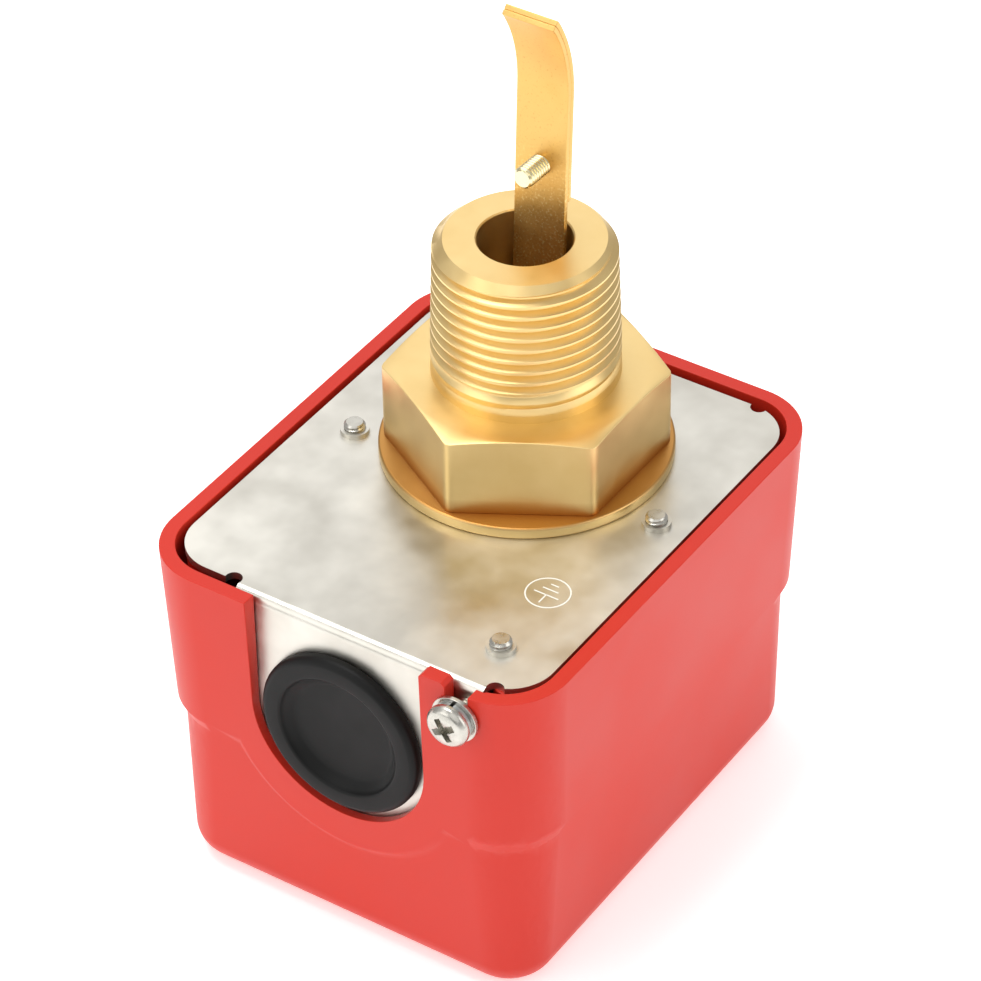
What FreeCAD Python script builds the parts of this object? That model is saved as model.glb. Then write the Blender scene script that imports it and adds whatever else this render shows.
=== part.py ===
import FreeCAD, Part
import math
import os

# Paddle flow switch: a brass pipe fitting on a zinc-plated base plate, with the
# paddle's arm rising out of its bore and the switch gear under a moulded cover.
# Millimetres, +Z up.  The origin is on the fitting's axis, in the plane of the
# cover's flat face, on which the switch stands.  -X is the cable entry's side.

V = FreeCAD.Vector
X_AXIS = V(1, 0, 0)
Y_AXIS = V(0, 1, 0)
Z_AXIS = V(0, 0, 1)

# ---- heights ----
THREAD_TOP = 117.0
PLATE_TOP = 70.7
PLATE_THICKNESS = 1.5
PLATE_BOTTOM = PLATE_TOP - PLATE_THICKNESS
RIM_TOP = 71.3

# ---- pipe fitting, 1 inch taper pipe thread ----
BORE_R = 8.57
THREAD_END_R = 16.37
THREAD_TAPER = 1 / 32
THREAD_FACE_R = 14.53
THREAD_LEAD = 1.5
THREAD_LOW = 91.3
NECK_R = 15.6
HEX_TOP = 89.0
HEX_LOW = 73.0
HEX_FLAT_R = 22.66
HEX_EDGE_R = 25.91
HEX_CROWN_R = 22.3
HEX_CROWN_DROP = 0.95
FLANGE_R = 26.9
SPIGOT_R = 14.5
SPIGOT_LOW = 59.0
LIP_R = 5.6
LIP_LOW = 65.6
LIP_TOP = 67.2
PIN_CHAMBER_R = 10.0

# ---- fitting screws, from below the plate ----
FITTING_SCREW_CIRCLE_R = 19.0
FITTING_SCREW_DEPTH = 8.0
FITTING_SCREW_ANGLES = (45, 135, 225, 315)

# ---- metric screw sizes: shank radius, pan head radius and height ----
M4_R = 2.0
M4_CORE_R = 1.65
M4_HEAD_R = 4.1
M4_HEAD_H = 2.4
M3_R = 1.5
M3_HEAD_R = 2.8
M3_HEAD_H = 2.0
HOLE_PLAY = 0.2
HEAD_EDGE_SHARE = 0.45
SHANK_POINT = 0.4

# ---- base plate ----
PLATE_FRONT_X = -61.0
PLATE_BACK_X = 32.4
PLATE_HALF_Y = 37.8
PLATE_CORNER_R = 9.0
BEND_R = 1.8
APRON_Y = (-30.2, 21.4)
APRON_SHOULDER = 39.0
RELIEF_R = 1.6
RELIEF_CENTRES = ((-58.9, 22.9), (-58.9, -31.7), (32.4, -29.6))
COLLAR_R = 2.7
COLLAR_H = 0.9
STUB_H = 2.2

# ---- cable entry in the plate's apron ----
ENTRY_Y = -1.3
ENTRY_Z = 48.3
ENTRY_R = 12.75
APRON_LOBE_R = 20.3

# ---- rubber plug ----
PLUG_FLANGE_R = 16.5
PLUG_FLANGE_T = 2.6
PLUG_DISH_R = 12.2
PLUG_DISH_DEPTH = 1.6
PLUG_LIP_R = 14.0
PLUG_LIP_T = 1.5
PLUG_SKIRT_LENGTH = 5.0

# ---- cover ----
COVER_FRONT_X = -64.2
COVER_BACK_X = 36.9
COVER_HALF_Y = 41.6
COVER_CORNER_R = 12.7
COVER_LOW_CORNER_R = 8.7
COVER_DRAFT = 2.2 / 71.3
COVER_WALL = 2.9
COVER_FLOOR = 3.0
COVER_BASE_FILLET = 6.0
STEP_TOP = 37.6
STEP_LOW = 34.4
STEP_INSET = 1.3
BOSS_R = 24.0
BOSS_SLOPE = 2.5
MOUTH_R = 18.2
SLOT_Y = -27.2
SLOT_Z = 66.0
SLOT_R = 2.3
TONGUE_RISE = 1.0
TONGUE_CHAMFER = 0.7
APRON_POCKET_GAP = 0.3
APRON_POCKET_R = 21.3
REST_POST_R = 3.0
REST_POSTS = ((-55.0, 32.3), (-55.0, -32.3), (27.5, 32.0), (27.5, -32.0))

# ---- cover screw with its washers, along X ----
WASHER_FACE_X = -64.18
FLAT_WASHER_R = 4.5
FLAT_WASHER_T = 0.8
SPRING_WASHER_R = 3.7
SPRING_WASHER_T = 1.0
COVER_SCREW_TIP_X = -56.0

# ---- paddle lever: drawn upright about its pivot, then leaned to its rest ----
PIVOT_Z = 62.0
REST_LEAN = 3.0
STEM_R = 2.5
KNUCKLE_R = 3.6
KNUCKLE_HALF_Y = 5.0
PIN_R = 1.5
PIN_HALF_Y = 13.0
PIN_PLAY = 0.05
CAP_R = 6.8
CAP_LOW = 23.0
CAP_TOP = 25.0
LUG_TOP = 36.0
LUG_X0 = -1.4
STRIP_X0 = 1.56
LAYER_T = 1.0
STRIP_HALF_Y = 5.25
BLADE_LOW = 61.0
BEND_HEIGHT = 86.0
BEND_IN_R = 10.0
BEND_IN_ANGLE = 28.0
BEND_RUN = 6.0
TIP_R = 4.0
TIP_ANGLE = 70.0
PADDLE_SCREW_HEIGHT = 67.5
PADDLE_STUB = 5.9
PADDLE_HEAD_R = 3.6
PADDLE_HEAD_H = 2.2

# ---- bellows ----
BELLOWS_R = 7.0
BELLOWS_ROOT_R = 5.9
BELLOWS_INNER_R = 5.4
BELLOWS_FOLDS = 5
BELLOWS_LOW = 5.7

# ---- lower end of the lever: switch pad and spring seat ----
STEM_LOW = -26.0
PAD_HEIGHT = -13.0
PAD_X0 = -5.0
PAD_HALF = 3.2
SEAT_HEIGHT = -22.0
SEAT_X = (2.2, 3.4)
SEAT_R = 5.2

# ---- mechanism frame ----
SHEET = 1.2
FRAME_HALF_Y = 22.8
FRAME_X = (-20.0, 20.0)
FRAME_LOW = 22.0
FOOT_HALF_Y = 36.0
FRAME_WINDOW = (-12.0, 12.0, 32.0, 58.0)
FRAME_SCREWS = ((-13.05, 28.83), (14.0, 28.83), (-6.55, -31.57))

# ---- microswitch ----
SWITCH_BACK_X = -26.5
SWITCH_FACE_X = -10.6
SWITCH_HALF_Y = 5.15
SWITCH_Z = (30.2, 58.0)
SWITCH_EDGE_R = 1.2
SWITCH_SCREWS = ((-23.3, 33.0), (-13.0, 55.2))
BUTTON_R = 1.3
BUTTON_PLAY = 0.08
BUTTON_CHAMFER = 0.4
BUTTON_INSIDE = 4.0
BUTTON_TO_PAD = 0.3
BUTTON_RELEASE = 1.6
TERMINAL_HEIGHTS = (36.0, 44.0, 52.0)
TERMINAL_LENGTH = 8.0
TERMINAL_HALF_Y = 3.15
TERMINAL_T = 0.8
TERMINAL_SCREW_X = -31.0

# ---- range adjustment, along X ----
RANGE_Z = PIVOT_Z + SEAT_HEIGHT
RANGE_TAB_X = 26.0
RANGE_TAB_HALF_Y = 8.0
RANGE_SHELF_X0 = 10.0
RANGE_NUT_X = 15.0
RANGE_NUT_T = 3.4
RANGE_NUT_HALF = 4.5
RANGE_NUT_PLAY = 0.3
RANGE_SCREW_TIP_X = 9.0
RANGE_COLLAR_R = 3.6
RANGE_COLLAR_T = 1.6
THREAD_PLAY = 0.05
SPRING_MEAN_R = 4.0
SPRING_WIRE_R = 0.45
SPRING_TURNS = 4

# ---- earth screw ----
EARTH_X = -49.52
EARTH_Y = -26.76
EARTH_WASHER_R = 4.5
EARTH_WASHER_T = 0.8


def box(x0, x1, y0, y1, z0, z1):
    return Part.makeBox(x1 - x0, y1 - y0, z1 - z0, V(x0, y0, z0))


def rod(radius, start, end):
    run = end - start
    return Part.makeCylinder(radius, run.Length, start, run)


def ring(outer, inner, start, end):
    return rod(outer, start, end).cut(rod(inner, start, end))


def turned(points):
    """Solid of revolution about Z, from (radius, z) corners."""
    corners = [V(r, 0, z) for r, z in points]
    outline = Part.makePolygon(corners + corners[:1])
    return Part.Face(outline).revolve(V(0, 0, 0), Z_AXIS, 360)


def rounded_rectangle(x0, x1, half_y, radius, z):
    """Closed wire in a level plane, with round corners."""
    edges = []
    centres = (
        (x1 - radius, half_y - radius, 0),
        (x0 + radius, half_y - radius, 90),
        (x0 + radius, radius - half_y, 180),
        (x1 - radius, radius - half_y, 270),
    )

    def on_corner(corner, angle):
        a = math.radians(corner[2] + angle)
        return V(corner[0] + radius * math.cos(a), corner[1] + radius * math.sin(a), z)

    for i, corner in enumerate(centres):
        start, middle, end = (on_corner(corner, angle) for angle in (0, 45, 90))
        edges.append(Part.Arc(start, middle, end).toShape())
        following = on_corner(centres[(i + 1) % 4], 0)
        edges.append(Part.makeLine(end, following))
    return Part.Wire(edges)


def pan_screw(head_point, axis, shank_r, head_r, head_h, length):
    """Pan head screw: the axis points from its head to its tip."""
    axis = V(axis).normalize()
    edge_h = head_h * HEAD_EDGE_SHARE
    profile = [
        (0, -head_h),
        (head_r - edge_h, -head_h),
        (head_r, edge_h - head_h),
        (head_r, 0),
        (shank_r, 0),
        (shank_r, length - SHANK_POINT),
        (shank_r - SHANK_POINT, length),
        (0, length),
    ]
    screw = turned(profile)
    screw.Placement = FreeCAD.Placement(head_point, FreeCAD.Rotation(Z_AXIS, axis))
    return screw


def lean(shape):
    """Turn an upright lever piece to its rest, about the pivot."""
    placed = shape.copy()
    placed.translate(V(0, 0, PIVOT_Z))
    placed.rotate(V(0, 0, PIVOT_Z), Y_AXIS, REST_LEAN)
    return placed


def polar(radius, angle, z=0.0):
    a = math.radians(angle)
    return V(radius * math.cos(a), radius * math.sin(a), z)


# ---- pipe fitting and its screws ----

def fitting_hexagon():
    corners = [polar(HEX_FLAT_R / math.cos(math.radians(30)), 60 * i, HEX_LOW) for i in range(6)]
    prism = Part.Face(Part.makePolygon(corners + corners[:1])).extrude(V(0, 0, HEX_TOP - HEX_LOW))
    crown = turned([
        (0, HEX_LOW),
        (HEX_EDGE_R, HEX_LOW),
        (HEX_EDGE_R, HEX_TOP - HEX_CROWN_DROP),
        (HEX_CROWN_R, HEX_TOP),
        (0, HEX_TOP),
    ])
    return prism.common(crown)


def thread_radius(z):
    return THREAD_END_R + (THREAD_TOP - z) * THREAD_TAPER


def pipe_fitting():
    body = turned([
        (0, SPIGOT_LOW),
        (SPIGOT_R, SPIGOT_LOW),
        (SPIGOT_R, PLATE_TOP),
        (FLANGE_R, PLATE_TOP),
        (FLANGE_R, HEX_LOW),
        (NECK_R, HEX_LOW),
        (NECK_R, THREAD_LOW - 0.8),
        (thread_radius(THREAD_LOW), THREAD_LOW + 0.6),
        (thread_radius(THREAD_TOP - THREAD_LEAD), THREAD_TOP - THREAD_LEAD),
        (THREAD_FACE_R, THREAD_TOP),
        (0, THREAD_TOP),
    ])
    body = body.fuse(fitting_hexagon())
    bore = turned([
        (0, SPIGOT_LOW),
        (PIN_CHAMBER_R, SPIGOT_LOW),
        (PIN_CHAMBER_R, LIP_LOW),
        (LIP_R, LIP_LOW),
        (LIP_R, LIP_TOP),
        (BORE_R, LIP_TOP),
        (BORE_R, THREAD_TOP),
        (0, THREAD_TOP),
    ])
    body = body.cut(bore)
    body = body.cut(rod(PIN_R, V(0, -SPIGOT_R, PIVOT_Z), V(0, SPIGOT_R, PIVOT_Z)))
    for angle in FITTING_SCREW_ANGLES:
        foot = polar(FITTING_SCREW_CIRCLE_R, angle, PLATE_TOP)
        body = body.cut(rod(M4_R, foot, foot + Z_AXIS * FITTING_SCREW_DEPTH))
    return body.removeSplitter()


def fitting_screws():
    length = PLATE_THICKNESS + FITTING_SCREW_DEPTH - 0.5
    return [
        pan_screw(polar(FITTING_SCREW_CIRCLE_R, angle, PLATE_BOTTOM), Z_AXIS,
                  M4_R, M4_HEAD_R, M4_HEAD_H, length)
        for angle in FITTING_SCREW_ANGLES
    ]


# ---- base plate ----

def apron():
    """The plate's front, bent down to carry the cable entry."""
    x0 = PLATE_FRONT_X
    x1 = PLATE_FRONT_X + PLATE_THICKNESS
    square = box(x0, x1, APRON_Y[0], APRON_Y[1], APRON_SHOULDER, PLATE_TOP - BEND_R)
    lobe = rod(APRON_LOBE_R, V(x0, ENTRY_Y, ENTRY_Z), V(x1, ENTRY_Y, ENTRY_Z))
    centre = V(PLATE_FRONT_X + BEND_R, APRON_Y[0], PLATE_TOP - BEND_R)
    width = V(0, APRON_Y[1] - APRON_Y[0], 0)
    bend = ring(BEND_R, BEND_R - PLATE_THICKNESS, centre, centre + width)
    bend = bend.common(box(x0, centre.x, APRON_Y[0], APRON_Y[1], centre.z, PLATE_TOP))
    return square.fuse([lobe, bend])


def base_plate():
    flat_x0 = PLATE_FRONT_X + BEND_R
    outline = rounded_rectangle(flat_x0, PLATE_BACK_X, PLATE_HALF_Y, PLATE_CORNER_R, PLATE_BOTTOM)
    plate = Part.Face(outline).extrude(V(0, 0, PLATE_THICKNESS))
    for x, y in FRAME_SCREWS + ((EARTH_X, EARTH_Y),):
        plate = plate.fuse(rod(COLLAR_R, V(x, y, PLATE_BOTTOM), V(x, y, PLATE_TOP + COLLAR_H)))
    plate = plate.fuse(apron())
    cuts = [rod(SPIGOT_R, V(0, 0, PLATE_BOTTOM), V(0, 0, PLATE_TOP))]
    for x, y in FRAME_SCREWS + ((EARTH_X, EARTH_Y),):
        cuts.append(rod(M4_R, V(x, y, PLATE_BOTTOM), V(x, y, PLATE_TOP + COLLAR_H)))
    for angle in FITTING_SCREW_ANGLES:
        foot = polar(FITTING_SCREW_CIRCLE_R, angle, PLATE_BOTTOM)
        cuts.append(rod(M4_R + HOLE_PLAY, foot, foot + Z_AXIS * PLATE_THICKNESS))
    for x, y in RELIEF_CENTRES:
        cuts.append(rod(RELIEF_R, V(x, y, PLATE_BOTTOM), V(x, y, PLATE_TOP)))
    apron_back = PLATE_FRONT_X + PLATE_THICKNESS
    cuts.append(rod(ENTRY_R, V(PLATE_FRONT_X, ENTRY_Y, ENTRY_Z), V(apron_back, ENTRY_Y, ENTRY_Z)))
    cuts.append(rod(M4_R, V(PLATE_FRONT_X, SLOT_Y, SLOT_Z), V(apron_back, SLOT_Y, SLOT_Z)))
    return plate.cut(cuts).removeSplitter()


# ---- cover ----

def cover_block(z0, z1, inset, low_radius, high_radius):
    """Drafted block between two heights, inset from the rim's outline."""
    wires = []
    for z, radius in ((z0, low_radius), (z1, high_radius)):
        shift = inset + (RIM_TOP - z) * COVER_DRAFT
        wires.append(rounded_rectangle(COVER_FRONT_X + shift, COVER_BACK_X - shift,
                                       COVER_HALF_Y - shift, radius, z))
    return Part.makeLoft(wires, True, True)


def cover_step():
    """Sloping shoulder between the cover's wide rim part and its narrower base."""
    wires = []
    for z, inset in ((STEP_LOW, STEP_INSET), (STEP_TOP, 0)):
        shift = inset + (RIM_TOP - z) * COVER_DRAFT
        wires.append(rounded_rectangle(COVER_FRONT_X + shift, COVER_BACK_X - shift,
                                       COVER_HALF_Y - shift, COVER_CORNER_R - inset, z))
    return Part.makeLoft(wires, True, True)


def cover_outside():
    base = cover_block(0, STEP_LOW, STEP_INSET, COVER_LOW_CORNER_R, COVER_CORNER_R - STEP_INSET)
    base_edges = [edge for edge in base.Edges if edge.BoundBox.ZMax < 0.01]
    base = base.makeFillet(COVER_BASE_FILLET, base_edges)
    wide = cover_block(STEP_TOP, RIM_TOP, 0, COVER_CORNER_R, COVER_CORNER_R)
    boss_block = cover_block(STEP_LOW - 20, STEP_TOP, 0, COVER_CORNER_R, COVER_CORNER_R)
    boss = Part.makeCone(BOSS_R, BOSS_R + 4 * BOSS_SLOPE, 4 * STEP_INSET,
                         V(COVER_FRONT_X + 1.0, ENTRY_Y, ENTRY_Z), X_AXIS)
    boss = boss.common(boss_block)
    return base.fuse([cover_step(), wide, boss])


def cover_inside():
    front_x = PLATE_FRONT_X - APRON_POCKET_GAP
    low = cover_block(COVER_FLOOR, STEP_TOP, STEP_INSET + COVER_WALL,
                      COVER_LOW_CORNER_R - COVER_WALL, COVER_CORNER_R - STEP_INSET - COVER_WALL)
    high = cover_block(STEP_TOP, RIM_TOP, COVER_WALL,
                       COVER_CORNER_R - COVER_WALL, COVER_CORNER_R - COVER_WALL)
    pocket_y = (APRON_Y[0] - 1.0, APRON_Y[1] + 1.0)
    back_x = front_x + 8.0
    pocket = box(front_x, back_x, pocket_y[0], pocket_y[1], STEP_TOP, RIM_TOP)
    lobe = rod(APRON_POCKET_R, V(front_x, ENTRY_Y, ENTRY_Z), V(back_x, ENTRY_Y, ENTRY_Z))
    lobe = lobe.common(box(front_x, back_x, -COVER_HALF_Y, COVER_HALF_Y, 0, RIM_TOP))
    return low.fuse([high, pocket, lobe])


def cover_mouth():
    """U-shaped opening over the cable entry, open to the rim."""
    x0 = COVER_FRONT_X - 1.0
    x1 = PLATE_FRONT_X + 1.0
    arch = rod(MOUTH_R, V(x0, ENTRY_Y, ENTRY_Z), V(x1, ENTRY_Y, ENTRY_Z))
    throat = box(x0, x1, ENTRY_Y - MOUTH_R, ENTRY_Y + MOUTH_R, ENTRY_Z, RIM_TOP)
    return arch.fuse(throat)


def cover_slot():
    """Slot that the cover screw's shank drops into."""
    x0 = COVER_FRONT_X - 1.0
    x1 = PLATE_FRONT_X + 1.0
    end = rod(SLOT_R, V(x0, SLOT_Y, SLOT_Z), V(x1, SLOT_Y, SLOT_Z))
    return end.fuse(box(x0, x1, SLOT_Y - SLOT_R, SLOT_Y + SLOT_R, SLOT_Z, RIM_TOP))


def cover_tongue():
    """Top of the narrow wall between the mouth and the screw's slot, a little proud of the rim."""
    x1 = COVER_FRONT_X + COVER_WALL
    tongue = box(COVER_FRONT_X, x1, SLOT_Y + SLOT_R, ENTRY_Y - MOUTH_R, RIM_TOP, RIM_TOP + TONGUE_RISE)
    top_edges = [edge for edge in tongue.Edges
                 if edge.BoundBox.ZMin > RIM_TOP and edge.BoundBox.YLength < TONGUE_CHAMFER]
    return tongue.makeChamfer(TONGUE_CHAMFER, top_edges)


def cover():
    shell = cover_outside().cut(cover_inside())
    posts = [rod(REST_POST_R, V(x, y, COVER_FLOOR), V(x, y, PLATE_BOTTOM)) for x, y in REST_POSTS]
    shell = shell.fuse(posts)
    shell = shell.cut([cover_mouth(), cover_slot()])
    return shell.fuse(cover_tongue()).removeSplitter()


# ---- cable plug and cover screw ----

def cable_plug():
    """Blind rubber grommet, snapped into the apron's hole."""
    profile = [
        (0, PLUG_DISH_DEPTH),
        (PLUG_DISH_R - 1.0, PLUG_DISH_DEPTH),
        (PLUG_DISH_R, 0.6),
        (PLUG_DISH_R, 0),
        (PLUG_FLANGE_R - 0.7, 0),
        (PLUG_FLANGE_R, 0.7),
        (PLUG_FLANGE_R, PLUG_FLANGE_T),
        (ENTRY_R, PLUG_FLANGE_T),
        (ENTRY_R, PLUG_FLANGE_T + PLATE_THICKNESS),
        (PLUG_LIP_R, PLUG_FLANGE_T + PLATE_THICKNESS),
        (PLUG_LIP_R, PLUG_FLANGE_T + PLATE_THICKNESS + PLUG_LIP_T),
        (ENTRY_R - 1.5, PLUG_FLANGE_T + PLATE_THICKNESS + PLUG_SKIRT_LENGTH),
        (ENTRY_R - 3.5, PLUG_FLANGE_T + PLATE_THICKNESS + PLUG_SKIRT_LENGTH),
        (ENTRY_R - 3.5, PLUG_DISH_DEPTH + 2.0),
        (0, PLUG_DISH_DEPTH + 2.0),
    ]
    plug = turned(profile)
    plug.rotate(V(0, 0, 0), Y_AXIS, 90)
    plug.translate(V(PLATE_FRONT_X - PLUG_FLANGE_T, ENTRY_Y, ENTRY_Z))
    return plug


def along_slot(x):
    return V(x, SLOT_Y, SLOT_Z)


def cover_flat_washer():
    return ring(FLAT_WASHER_R, M4_R + HOLE_PLAY,
                along_slot(WASHER_FACE_X - FLAT_WASHER_T), along_slot(WASHER_FACE_X))


def cover_spring_washer():
    """Split ring, cut through on its upper side."""
    x1 = WASHER_FACE_X - FLAT_WASHER_T
    x0 = x1 - SPRING_WASHER_T
    washer = ring(SPRING_WASHER_R, M4_R + HOLE_PLAY, along_slot(x0), along_slot(x1))
    split = box(x0, x1, SLOT_Y - 0.3, SLOT_Y + 0.3, SLOT_Z, SLOT_Z + SPRING_WASHER_R + 1)
    return washer.cut(split)


def cover_screw():
    head_x = WASHER_FACE_X - FLAT_WASHER_T - SPRING_WASHER_T
    return pan_screw(along_slot(head_x), X_AXIS, M4_R, M4_HEAD_R, M4_HEAD_H,
                     COVER_SCREW_TIP_X - head_x)


# ---- paddle lever ----

def strip_layer(inner, outer, low):
    """One layer of the bent brass strip, between two offsets from its front face."""
    bend_x = STRIP_X0 - BEND_IN_R
    run = V(-math.sin(math.radians(BEND_IN_ANGLE)), 0, math.cos(math.radians(BEND_IN_ANGLE)))

    def on_bend(centre, radius, angle):
        a = math.radians(angle)
        return centre + V(radius * math.cos(a), 0, radius * math.sin(a))

    first = V(bend_x, 0, BEND_HEIGHT)
    second_start = on_bend(first, BEND_IN_R, BEND_IN_ANGLE) + run * BEND_RUN
    second = second_start - V(run.z, 0, -run.x) * TIP_R

    def side(offset):
        middle = BEND_IN_ANGLE / 2
        halfway = (BEND_IN_ANGLE + TIP_ANGLE) / 2
        edges = [Part.makeLine(V(STRIP_X0 + offset, 0, low), on_bend(first, BEND_IN_R + offset, 0))]
        edges.append(Part.Arc(on_bend(first, BEND_IN_R + offset, 0),
                              on_bend(first, BEND_IN_R + offset, middle),
                              on_bend(first, BEND_IN_R + offset, BEND_IN_ANGLE)).toShape())
        edges.append(Part.makeLine(on_bend(first, BEND_IN_R + offset, BEND_IN_ANGLE),
                                   on_bend(second, TIP_R + offset, BEND_IN_ANGLE)))
        edges.append(Part.Arc(on_bend(second, TIP_R + offset, BEND_IN_ANGLE),
                              on_bend(second, TIP_R + offset, halfway),
                              on_bend(second, TIP_R + offset, TIP_ANGLE)).toShape())
        return edges

    tip = Part.makeLine(on_bend(second, TIP_R + inner, TIP_ANGLE),
                        on_bend(second, TIP_R + outer, TIP_ANGLE))
    foot = Part.makeLine(V(STRIP_X0 + inner, 0, low), V(STRIP_X0 + outer, 0, low))
    wire = Part.Wire(Part.__sortEdges__(side(inner) + [tip] + side(outer) + [foot]))
    layer = Part.Face(wire).extrude(V(0, 2 * STRIP_HALF_Y, 0))
    layer.translate(V(0, -STRIP_HALF_Y, 0))
    hole = rod(M4_CORE_R, V(STRIP_X0 - 1, 0, PADDLE_SCREW_HEIGHT),
               V(STRIP_X0 + outer + 1, 0, PADDLE_SCREW_HEIGHT))
    return layer.cut(hole)


def paddle_arm():
    return lean(strip_layer(0, LAYER_T, CAP_TOP))


def paddle_blade():
    return lean(strip_layer(LAYER_T, 2 * LAYER_T, BLADE_LOW))


def paddle_screw():
    """Screw tapped through both layers: its core in their threads, its full size beyond them."""
    grip = 2 * LAYER_T
    edge_h = PADDLE_HEAD_H * HEAD_EDGE_SHARE
    screw = turned([
        (0, -PADDLE_HEAD_H),
        (PADDLE_HEAD_R - edge_h, -PADDLE_HEAD_H),
        (PADDLE_HEAD_R, edge_h - PADDLE_HEAD_H),
        (PADDLE_HEAD_R, 0),
        (M4_CORE_R, 0),
        (M4_CORE_R, grip),
        (M4_R, grip),
        (M4_R, grip + PADDLE_STUB - SHANK_POINT),
        (M4_R - SHANK_POINT, grip + PADDLE_STUB),
        (0, grip + PADDLE_STUB),
    ])
    screw.rotate(V(0, 0, 0), Y_AXIS, -90)
    screw.translate(V(STRIP_X0 + grip, 0, PADDLE_SCREW_HEIGHT))
    return lean(screw)


def lever_stem():
    """Bellows cap, stem and pivot knuckle, with the pad and spring seat below."""
    cap = rod(CAP_R, V(0, 0, CAP_LOW), V(0, 0, CAP_TOP))
    lug = box(LUG_X0, STRIP_X0, -STRIP_HALF_Y + 1, STRIP_HALF_Y - 1, CAP_TOP, LUG_TOP)
    stem = rod(STEM_R, V(0, 0, STEM_LOW), V(0, 0, CAP_LOW))
    knuckle = rod(KNUCKLE_R, V(0, -KNUCKLE_HALF_Y, 0), V(0, KNUCKLE_HALF_Y, 0))
    pad = box(PAD_X0, 0, -PAD_HALF, PAD_HALF, PAD_HEIGHT - PAD_HALF, PAD_HEIGHT + PAD_HALF)
    seat = rod(SEAT_R, V(SEAT_X[0], 0, SEAT_HEIGHT), V(SEAT_X[1], 0, SEAT_HEIGHT))
    pilot = rod(SPRING_MEAN_R - SPRING_WIRE_R - 0.4, V(0, 0, SEAT_HEIGHT), V(SEAT_X[1] + 1, 0, SEAT_HEIGHT))
    solid = cap.fuse([lug, stem, knuckle, pad, seat, pilot])
    solid = solid.cut(rod(PIN_R + PIN_PLAY, V(0, -KNUCKLE_HALF_Y, 0), V(0, KNUCKLE_HALF_Y, 0)))
    return lean(solid.removeSplitter())


def pivot_pin():
    return rod(PIN_R, V(0, -PIN_HALF_Y, PIVOT_Z), V(0, PIN_HALF_Y, PIVOT_Z))


def bellows():
    """Corrugated tube, soldered to the stem's cap."""
    pitch = (CAP_LOW - BELLOWS_LOW) / BELLOWS_FOLDS
    profile = [(BELLOWS_INNER_R, CAP_LOW), (BELLOWS_INNER_R, BELLOWS_LOW)]
    for i in range(BELLOWS_FOLDS):
        z = BELLOWS_LOW + i * pitch
        profile += [(BELLOWS_ROOT_R, z), (BELLOWS_R, z + pitch * 0.3), (BELLOWS_R, z + pitch * 0.7)]
    profile.append((BELLOWS_ROOT_R, CAP_LOW))
    return lean(turned(profile))


# ---- mechanism frame ----

def mechanism_frame():
    """Bent steel frame hung under the plate, with a switch tab and a range tab."""
    x0, x1 = FRAME_X
    outer = FRAME_HALF_Y + SHEET
    pieces = []
    for side in (-1, 1):
        wall_y = sorted((side * FRAME_HALF_Y, side * outer))
        foot_y = sorted((side * FRAME_HALF_Y, side * FOOT_HALF_Y))
        wall = box(x0, x1, wall_y[0], wall_y[1], FRAME_LOW, PLATE_BOTTOM)
        window = FRAME_WINDOW
        wall = wall.cut(box(window[0], window[1], wall_y[0], wall_y[1], window[2], window[3]))
        pieces.append(wall)
        pieces.append(box(x0, x1, foot_y[0], foot_y[1], PLATE_BOTTOM - SHEET, PLATE_BOTTOM))
    web = box(SWITCH_BACK_X, RANGE_TAB_X, -outer, outer, FRAME_LOW, FRAME_LOW + SHEET)
    tab_y = SWITCH_HALF_Y
    tab = box(SWITCH_BACK_X, SWITCH_FACE_X, tab_y, tab_y + SHEET, FRAME_LOW, SWITCH_Z[1])
    range_tab = box(RANGE_TAB_X - SHEET, RANGE_TAB_X, -RANGE_TAB_HALF_Y, RANGE_TAB_HALF_Y,
                    FRAME_LOW, RANGE_Z + RANGE_TAB_HALF_Y)
    shelf_top = RANGE_Z - RANGE_NUT_HALF - RANGE_NUT_PLAY
    shelf = box(RANGE_SHELF_X0, RANGE_TAB_X, -RANGE_TAB_HALF_Y, RANGE_TAB_HALF_Y,
                shelf_top - SHEET, shelf_top)
    frame = web.fuse(pieces + [tab, range_tab, shelf])
    holes = [rod(M4_R + HOLE_PLAY, V(x, y, PLATE_BOTTOM - SHEET), V(x, y, PLATE_BOTTOM))
             for x, y in FRAME_SCREWS]
    holes += [rod(M3_R, V(x, tab_y, z), V(x, tab_y + SHEET, z)) for x, z in SWITCH_SCREWS]
    holes.append(rod(M4_R + THREAD_PLAY, V(RANGE_TAB_X - SHEET, 0, RANGE_Z), V(RANGE_TAB_X, 0, RANGE_Z)))
    return frame.cut(holes).removeSplitter()


def frame_screws():
    length = SHEET + PLATE_THICKNESS + STUB_H
    return [pan_screw(V(x, y, PLATE_BOTTOM - SHEET), Z_AXIS, M4_R, M4_HEAD_R, M4_HEAD_H, length)
            for x, y in FRAME_SCREWS]


# ---- microswitch ----

def microswitch_case():
    case = box(SWITCH_BACK_X, SWITCH_FACE_X, -SWITCH_HALF_Y, SWITCH_HALF_Y, SWITCH_Z[0], SWITCH_Z[1])
    case = case.makeFillet(SWITCH_EDGE_R, [edge for edge in case.Edges
                                           if abs(edge.tangentAt(edge.FirstParameter).y) > 0.9])
    holes = [rod(M3_R + HOLE_PLAY, V(x, -SWITCH_HALF_Y, z), V(x, SWITCH_HALF_Y, z))
             for x, z in SWITCH_SCREWS]
    holes.append(rod(BUTTON_R + BUTTON_PLAY, button_point(SWITCH_FACE_X - BUTTON_INSIDE - BUTTON_RELEASE),
                     button_point(SWITCH_FACE_X)))
    return case.cut(holes)


def button_point(x):
    return V(x, 0, PIVOT_Z + PAD_HEIGHT)


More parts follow.
